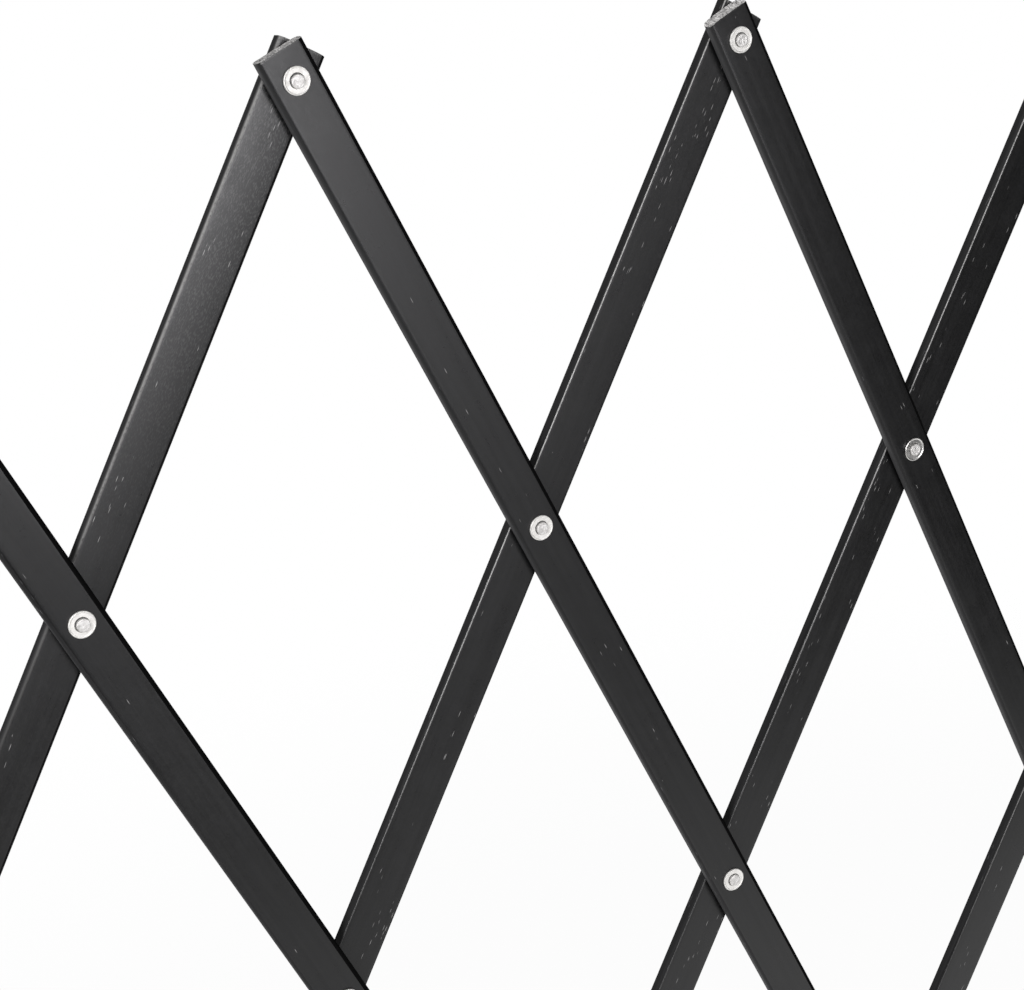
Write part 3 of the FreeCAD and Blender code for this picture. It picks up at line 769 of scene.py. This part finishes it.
frontEnd = rivetCalc("GREATER_THAN", blankZ, rivetForm["endLevel"])
backEnd = rivetCalc("LESS_THAN", blankZ, -rivetForm["endLevel"])
middlePart = rivetCalc("SUBTRACT", 1.0, rivetCalc("ADD", frontEnd, backEnd))


# A new curve has two points already, which the first two places move
def shapeCurve(factor, points):
    node = addNode(rivetTree, "ShaderNodeFloatCurve", {"Value": factor})
    curve = node.mapping.curves[0]
    for spot, place in enumerate(points):
        if spot < 2:
            curve.points[spot].location = place
        else:
            curve.points.new(*place)
    node.mapping.update()
    return node.outputs[0]


# One value for each of the rivet's three parts
def byPart(middle, front, back):
    ends = rivetCalc("ADD", rivetCalc("MULTIPLY", frontEnd, front), rivetCalc("MULTIPLY", backEnd, back))
    return rivetCalc("ADD", rivetCalc("MULTIPLY", middlePart, middle), ends)


width = byPart(*[halfOf(rivetTree, rivetIn[part + " Diameter"]) for part in ("Shank", "Crown", "Head")])
gripHalf = halfOf(rivetTree, rivetIn["Grip"])
crownBase = rivetCalc("SUBTRACT", gripHalf, rivetIn["Sink"])
crownTop = rivetCalc("MULTIPLY_ADD", shapeCurve(reach, rivetForm["crownRise"]), rivetCalc(
    "ADD", rivetIn["Crown Height"], rivetIn["Sink"]), crownBase)
headTop = rivetCalc("MULTIPLY", -1.0, rivetCalc(
    "MULTIPLY_ADD", shapeCurve(reach, rivetForm["headRise"]), rivetIn["Head Height"], gripHalf))
shankEnd = mixValue(rivetTree, rivetCalc("GREATER_THAN", blankZ, 0.0), rivetCalc(
    "MULTIPLY", gripHalf, -1.0), crownBase)
level = byPart(shankEnd, crownTop, headTop)
crownShift = rivetCalc("MULTIPLY", frontEnd, rivetIn["Off Centre"])
formedX = rivetCalc("MULTIPLY_ADD", blankX, width, crownShift)
formedY = rivetCalc("MULTIPLY_ADD", blankY, width, rivetCalc("MULTIPLY", crownShift, rivetForm["shiftUp"]))
# Marked before the blank is formed, while its own place still tells the ends apart
struck = kept(rivetTree, blank, "struck", rivetCalc(
    "MULTIPLY", frontEnd, rivetRamp(reach, *rivetForm["struckFade"])))
# Painted shade is marked round the foot of the hammered end, in the gap where shade falls
footed = kept(rivetTree, struck, "gapShade", rivetCalc(
    "MULTIPLY", frontEnd, rivetRamp(reach, *rivetForm["footShade"])))
formed = moved(rivetTree, footed, joined(rivetTree, formedX, formedY, level))
rivetTurned = upended(rivetTree, smoothed(rivetTree, formed, rivetForm["sharpAngle"]))
rivetRow = rowPoints(rivetTree, rivetIn["Count"], rivetIn["First"], rivetIn["Step"])
rivets = setAlong(rivetTree, rivetRow, rivetTurned)
blowNoise = noise(rivetTree, placeOf(rivetTree), rivetForm["blowScale"], seed=rivetIn["Seed"])
struckMask = addNode(
    rivetTree, "GeometryNodeInputNamedAttribute", {"Name": "struck"}, data_type="FLOAT").outputs[0]
blow = rivetCalc("MULTIPLY", rivetCalc("MULTIPLY", struckMask, rivetIn["Hammering"]), rivetRamp(
    blowNoise, *noiseReach))
hammered = pushed(rivetTree, rivets, joined(rivetTree, 0.0, blow, 0.0))
rivetTree.links.new(finished(rivetTree, hammered, rivetIn["Finish"]), rivetOut["Geometry"])


# A row of equal round pieces on a slat that leans to the upper left, read from the node's own box
def rowOf(node, diameter):
    low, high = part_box(node)
    half = diameter / 2
    first = Vector((low.x + half, (low.y + high.y) / 2, high.z - half))
    last = Vector((high.x - half, (low.y + high.y) / 2, low.z + half))
    count = round((last - first).length / slats["pitch"]) + 1
    return first, (last - first) / max(count - 1, 1), count


rivetSet = {
    "shank": 4 * mm, "head": 9 * mm, "headHeight": 1.6 * mm, "crown": 5.5 * mm, "crownHeight": 0.55 * mm,
    "solidCrown": 0.9 * mm, "sink": 0.5 * mm, "offCentre": 0.3 * mm, "seedStep": 3, "pivotSeed": 40,
    "hammering": [depth * mm for depth in (0.16, 0.16, 0.12, 0.14, 0.28, 0.16)],
}


def rivetSizes(node, seed, hammering):
    first, step, count = rowOf(node, rivetSet["head"])
    low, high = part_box(node)
    front, back = low.y + rivetSet["solidCrown"], high.y - rivetSet["headHeight"]
    first.y = (front + back) / 2
    return {
        "Shank Diameter": rivetSet["shank"], "Head Diameter": rivetSet["head"],
        "Head Height": rivetSet["headHeight"], "Crown Diameter": rivetSet["crown"],
        "Crown Height": rivetSet["crownHeight"], "Grip": back - front, "Sink": rivetSet["sink"],
        "Hammering": hammering, "Off Centre": rivetSet["offCentre"], "Count": count, "First": first,
        "Step": step, "Seed": seed, "Finish": rivetZinc,
    }


washerSet = {
    "Outer Diameter": 10.6 * mm, "Hole Diameter": 4.1 * mm, "Edge Radius": 0.35 * mm,
    "Recess Diameter": 6.0 * mm, "Recess Depth": 0.3 * mm, "Rim Width": 0.45 * mm, "Face Drop": 0.2 * mm,
    "Finish": washerZinc,
}
backWasherSet = {
    "Outer Diameter": 14 * mm, "Hole Diameter": 4.1 * mm, "Edge Radius": 0.3 * mm, "Finish": washerZinc}
spacerSet = {"Outer Diameter": 12 * mm, "Hole Diameter": 4.1 * mm, "Edge Radius": 0.4 * mm, "Finish": nylon}
ringSet = {
    "dent": 0.04 * mm, "dullness": 0.37, "polished": (2, 1, 3, -1, 1, 2), "nonePolished": -1,
    "spacerSeed": 50, "backWasherSeed": 60,
}


def ringSizes(node, ring, seed, polished=ringSet["nonePolished"]):
    first, step, count = rowOf(node, ring["Outer Diameter"])
    low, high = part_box(node)
    return {
        **dict.fromkeys(("Recess Diameter", "Recess Depth", "Rim Width", "Face Drop"), 0.0), **ring,
        "Thickness": high.y - low.y, "Dent": ringSet["dent"], "Dullness": ringSet["dullness"],
        "Polished": polished, "Count": count, "First": first, "Step": step, "Seed": float(seed),
    }


for number in range(1, 7):
    body = f"front_slat_{number}"
    rivetNode, washerNode = body + "_rivets", body + "_washers"
    hammering = rivetSet["hammering"][number - 1]
    grow(rivetNode + "_set", rivetTree, rivetSizes(
        rivetNode, rivetSet["seedStep"] * number, hammering), body, "zinc_steel", rivetNode)
    grow(washerNode + "_set", ringTree, ringSizes(
        washerNode, washerSet, number, ringSet["polished"][number - 1]), body, "zinc_steel", washerNode)

bodyOf = {name: body for body, names in frame["record"]["behaviour"]["bodies"].items() for name in names}
for number, corner in enumerate(("left_upper", "left_lower", "right_upper", "right_lower"), start=1):
    pivot, spacer, backWasher = corner + "_pivot", corner + "_spacer", corner + "_back_washer"
    grow(pivot + "_rivet", rivetTree, rivetSizes(
        pivot, rivetSet["pivotSeed"] + number, rivetSet["hammering"][0]), bodyOf[pivot], "zinc_steel", pivot)
    grow(spacer + "_ring", ringTree, ringSizes(
        spacer, spacerSet, ringSet["spacerSeed"] + number), bodyOf[spacer], "black_nylon", spacer)
    backSizes = ringSizes(backWasher, backWasherSet, ringSet["backWasherSeed"] + number)
    grow(backWasher + "_ring", ringTree, backSizes, bodyOf[backWasher], "zinc_steel", backWasher)
print("fasteners made")

# The posts keep their own solids and take the stain
for name in ("left_post", "right_post"):
    post = frame["nodes"][name]
    post.data.materials.clear()
    post.data.materials.append(postWood)

# Camera: its focal length and the image's width are in pixels
cameraSet = {
    "place": (-0.00213, -0.7269, 0.4951), "right": (0.8686, -0.4950, -0.0246),
    "up": (0.1747, 0.2592, 0.9499), "ahead": (0.4638, 0.8293, -0.3116),
    "focal": 2134.0, "imageWidth": 1024.0, "sensor": 36.0, "nearest": 0.01,
}
cameraData = bpy.data.cameras.new("camera")
camera = bpy.data.objects.new("camera", cameraData)
scene.collection.objects.link(camera)
cameraData.sensor_width = cameraSet["sensor"]
cameraData.lens = cameraSet["focal"] * cameraSet["sensor"] / cameraSet["imageWidth"]
cameraData.clip_start = cameraSet["nearest"]
cameraAxes = (cameraSet["right"], cameraSet["up"], [-part for part in cameraSet["ahead"]])
camera.matrix_world = Matrix.Translation(cameraSet["place"]) @ Matrix(cameraAxes).transposed().to_4x4()
scene.camera = camera

# Studio: a pale floor that fades into a white background, with a room that is dark behind the camera
studio = {
    "floorMiddle": (0.85, 0.05), "floorInner": 0.6, "floorOuter": 1.3, "floorMargin": 0.05,
    "floorDrop": 0.5 * mm, "floorRings": 12, "floorSpokes": 72, "floorGrey": (0.8, 0.8, 0.8, 1),
    "floorGlow": 0.95, "whiteDirection": (0.50, 0.84, -0.21), "whiteFrom": 0.30, "whiteTo": 0.86,
    "roomGrey": (0.05, 0.05, 0.05, 1), "fill": 0.45, "lampTint": (0.985, 0.975, 1.0),
    "keyPlace": (0.66, -1.85, 0.42), "keySize": (0.9, 0.9), "keyPower": 14.8,
    "panelPlace": (0.78, -1.85, 0.10), "panelSize": (1.74, 1.52), "panelPower": 6.0,
    "edgePlace": (-1.00, -0.80, 0.75), "edgeSize": (0.5, 0.6), "edgePower": 25.0,
}
floorMiddle = (*studio["floorMiddle"], cadLow.z - studio["floorDrop"])
floorMesh = bpy.data.meshes.new("floor")
ringCount, spokeCount = studio["floorRings"], studio["floorSpokes"]
floorPoints = [floorMiddle]
for ring in range(1, ringCount + 1):
    away = (studio["floorOuter"] + studio["floorMargin"]) * ring / ringCount
    for spoke in range(spokeCount):
        angle = 2 * math.pi * spoke / spokeCount
        x, y = floorMiddle[0] + away * math.cos(angle), floorMiddle[1] + away * math.sin(angle)
        floorPoints.append((x, y, floorMiddle[2]))
floorFaces = [(0, 1 + spoke, 1 + (spoke + 1) % spokeCount) for spoke in range(spokeCount)]
for ring in range(ringCount - 1):
    inner = 1 + ring * spokeCount
    outer = inner + spokeCount
    for spoke in range(spokeCount):
        after = (spoke + 1) % spokeCount
        floorFaces.append((inner + spoke, outer + spoke, outer + after, inner + after))
floorMesh.from_pydata(floorPoints, [], floorFaces)
floor = bpy.data.objects.new("floor", floorMesh)
scene.collection.objects.link(floor)


# Rays that see the background: the camera's own, and those that metal and glass send on
def backgroundRays(tree):
    path = addNode(tree, "ShaderNodeLightPath").outputs
    return calc(tree, "ADD", calc(tree, "ADD", path["Is Camera Ray"], path["Is Glossy Ray"]),
                path["Is Transmission Ray"], clamp=True)


floorMaterial, floorNodes, floorShader = newMaterial("paleFloor")
floorNodes.nodes.remove(floorShader)
floorDiffuse = addNode(floorNodes, "ShaderNodeBsdfDiffuse", {"Color": studio["floorGrey"]}).outputs[0]
floorGlow = addNode(floorNodes, "ShaderNodeEmission", {"Color": white, "Strength": 1.0}).outputs[0]
floorSeen = mixShader(floorNodes, studio["floorGlow"], floorDiffuse, floorGlow)
floorLit = mixShader(floorNodes, backgroundRays(floorNodes), floorDiffuse, floorSeen)
floorAway = vectorCalc(floorNodes, "DISTANCE", objectPlace(floorNodes), floorMiddle)
floorFaded = mixShader(
    floorNodes, ramp(floorNodes, floorAway, studio["floorInner"], studio["floorOuter"]), floorLit,
    addNode(floorNodes, "ShaderNodeBsdfTransparent").outputs[0])
floorNodes.links.new(floorFaded, floorNodes.nodes["Material Output"].inputs["Surface"])
floorMesh.materials.append(floorMaterial)

world = bpy.data.worlds.new("studio")
scene.world = world
world.use_nodes = True
worldNodes = world.node_tree
worldNodes.nodes.remove(worldNodes.nodes["Background"])
facing = vectorCalc(worldNodes, "DOT_PRODUCT", addNode(worldNodes, "ShaderNodeTexCoord").outputs["Generated"],
                    studio["whiteDirection"])
roomShade = mixColour(
    worldNodes, ramp(worldNodes, facing, studio["whiteFrom"], studio["whiteTo"]), studio["roomGrey"], white)
cameraRay = addNode(worldNodes, "ShaderNodeLightPath").outputs["Is Camera Ray"]
roomSeen = addNode(worldNodes, "ShaderNodeBackground", {
    "Color": mixColour(worldNodes, cameraRay, roomShade, white), "Strength": 1.0})
roomFill = addNode(worldNodes, "ShaderNodeBackground", {"Color": white, "Strength": studio["fill"]})
room = mixShader(worldNodes, backgroundRays(worldNodes), roomFill.outputs[0], roomSeen.outputs[0])
worldNodes.links.new(room, worldNodes.nodes["World Output"].inputs["Surface"])


def addLamp(name, place, aim, size, power):
    data = bpy.data.lights.new(name, "AREA")
    data.shape = "RECTANGLE"
    data.size, data.size_y = size
    data.energy = power
    data.color = studio["lampTint"]
    lamp = bpy.data.objects.new(name, data)
    scene.collection.objects.link(lamp)
    lamp.location = place
    lamp.rotation_euler = (Vector(aim) - Vector(place)).to_track_quat("-Z", "Y").to_euler()
    lamp.visible_camera = False


barrierMiddle = (cadLow + cadHigh) / 2
for lampName in ("key", "panel", "edge"):
    lampPlace, lampSize, lampPower = (studio[lampName + part] for part in ("Place", "Size", "Power"))
    addLamp(lampName + "Lamp", lampPlace, barrierMiddle, lampSize, lampPower)
scene.view_settings.view_transform = "Standard"
print("studio ready")
